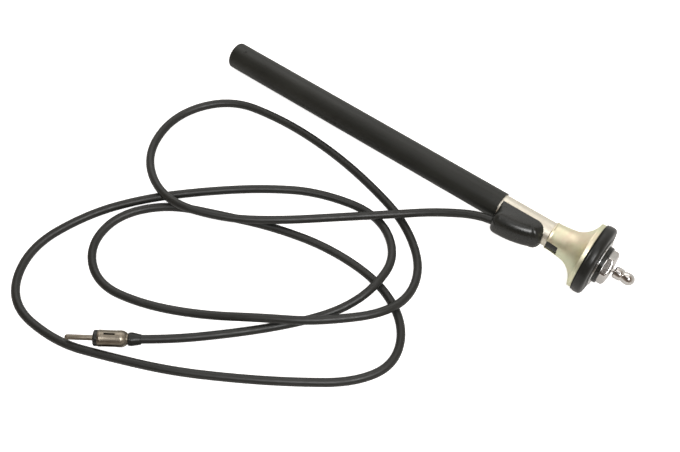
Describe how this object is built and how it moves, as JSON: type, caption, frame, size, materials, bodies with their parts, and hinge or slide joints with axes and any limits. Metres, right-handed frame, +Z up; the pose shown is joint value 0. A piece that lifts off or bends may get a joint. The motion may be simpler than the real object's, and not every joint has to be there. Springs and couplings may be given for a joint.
{
  "type": "telescopic car radio antenna",
  "caption": "Pull-up telescopic car antenna in a sheathed barrel, with a bell bracket, rubber pad and cap nut for a wing panel, and a long coaxial lead with a pin plug.",
  "frame": {"origin": "on the surface the aerial lies on, under the middle of the aerial without its lead", "axes": "+X from the closed tail to the mast tip, +Z up; the aerial's own axis climbs 2.8 degrees above +X because the pad is larger than the barrel"},
  "size_m": [0.3043, 0.2404, 0.0431],
  "materials": {
    "sheath_plastic": "satin",
    "plated_steel": "satin zinc plate",
    "yellow_zinc": "yellow passivated zinc",
    "black_rubber": "matte",
    "black_plastic": "satin",
    "chrome": "polished",
    "steel_washer": "bright",
    "brass": "bare",
    "natural_plastic": "translucent white",
    "nickel": "dull nickel plate",
    "cable_jacket": "satin",
    "copper": "bare copper"
  },
  "bodies": {
    "barrel": {"protective_sheath": "sheath_plastic", "housing_tube": "plated_steel", "drain_plug": "black_plastic", "guide_liner": "natural_plastic", "contact_sleeve": "brass", "head_insulator": "black_plastic", "threaded_spigot": "plated_steel", "bell_bracket": "yellow_zinc", "joint_cover": "black_plastic", "earth_clamp": "nickel", "centre_lead": "copper", "coax_cable": "cable_jacket", "plug_pin": "nickel", "plug_insulator": "black_plastic", "plug_shell": "nickel", "plug_ferrule": "nickel", "plug_boot": "black_rubber"},
    "clamp_stack": {"rubber_pad": "black_rubber", "thrust_washer": "steel_washer", "insulating_collar": "black_plastic"},
    "nut": {"cap_nut": "chrome", "mast_seal": "black_rubber"},
    "lower_section": {"mast_lower": "chrome", "bush_lower": "brass"},
    "middle_section": {"mast_middle": "chrome", "bush_middle": "brass"},
    "upper_section": {"mast_upper": "chrome", "bush_upper": "brass"},
    "rod_section": {"mast_rod": "chrome", "rod_stop": "brass", "mast_tip": "chrome"}
  },
  "joints": [
    {"name": "clamp_travel", "type": "slide", "parent": "barrel", "child": "clamp_stack", "axis": [0.9988, 0, 0.0491], "range_m": [0, 0.005]},
    {"name": "nut_turn", "type": "hinge", "parent": "clamp_stack", "child": "nut", "pos_m": [0.1293, 0, 0.02203], "axis": [0.9988, 0, 0.0491], "range_deg": [0, 1800]},
    {"name": "lower_slide", "type": "slide", "parent": "barrel", "child": "lower_section", "axis": [0.9988, 0, 0.0491], "range_m": [0, 0.212]},
    {"name": "middle_slide", "type": "slide", "parent": "lower_section", "child": "middle_section", "axis": [0.9988, 0, 0.0491], "range_m": [0, 0.246]},
    {"name": "upper_slide", "type": "slide", "parent": "middle_section", "child": "upper_section", "axis": [0.9988, 0, 0.0491], "range_m": [0, 0.246]},
    {"name": "rod_slide", "type": "slide", "parent": "upper_section", "child": "rod_section", "axis": [0.9988, 0, 0.0491], "range_m": [0, 0.245]}
  ],
  "couplings": [
    {"joint": "clamp_travel", "follows": "nut_turn", "m_per_rad": 0.000159}
  ]
}
